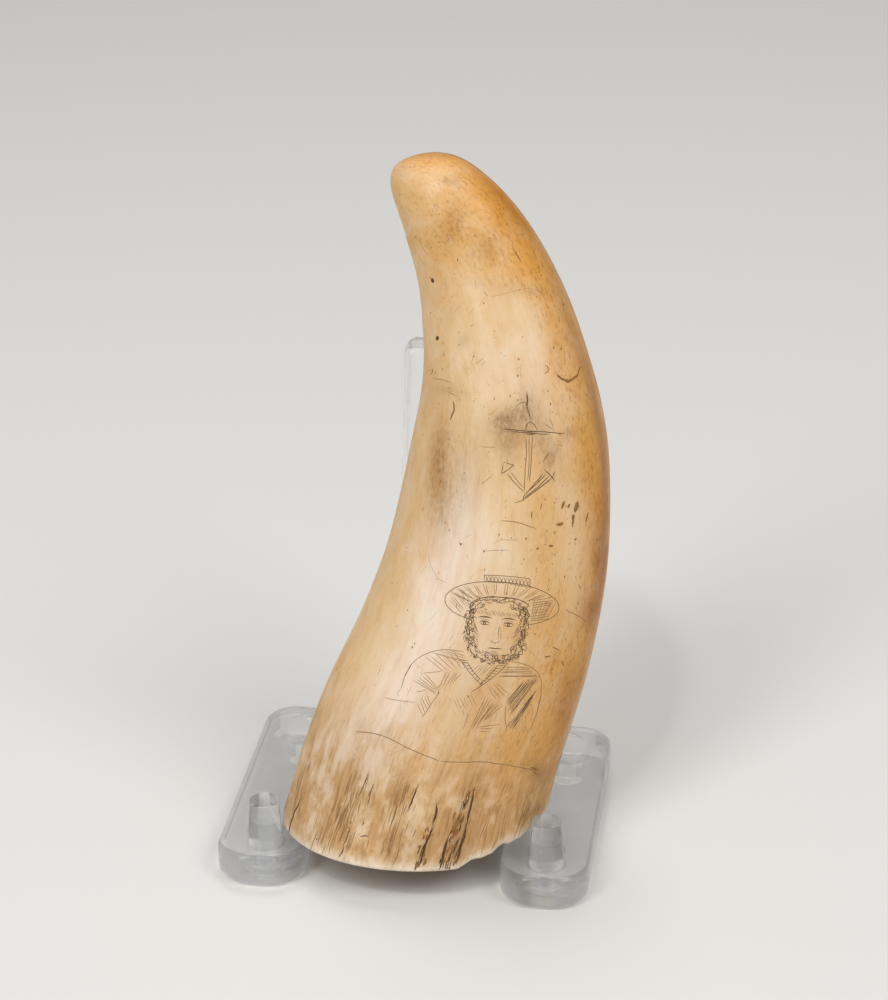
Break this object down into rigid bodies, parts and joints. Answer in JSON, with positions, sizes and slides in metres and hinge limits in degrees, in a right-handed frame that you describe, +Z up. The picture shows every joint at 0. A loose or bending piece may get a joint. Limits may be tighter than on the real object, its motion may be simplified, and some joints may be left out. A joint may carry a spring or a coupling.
{
  "type": "scrimshaw whale tooth",
  "caption": "Curved whale tooth engraved with an anchor and a sailor's bust, standing in a small clear acrylic easel with pegs.",
  "frame": {"origin": "on the surface it stands on, at the middle of the whole object's footprint", "axes": "+Z up, +X to the right across the easel seen from the front, +Y to its back"},
  "size_m": [0.0696, 0.0588, 0.1301],
  "materials": {
    "tooth_ivory": "polished, aged",
    "clear_acrylic": "clear, gloss"
  },
  "bodies": {
    "root": {"tooth": "tooth_ivory", "easel": "clear_acrylic", "peg_left": "clear_acrylic", "peg_right": "clear_acrylic"}
  },
  "joints": []
}
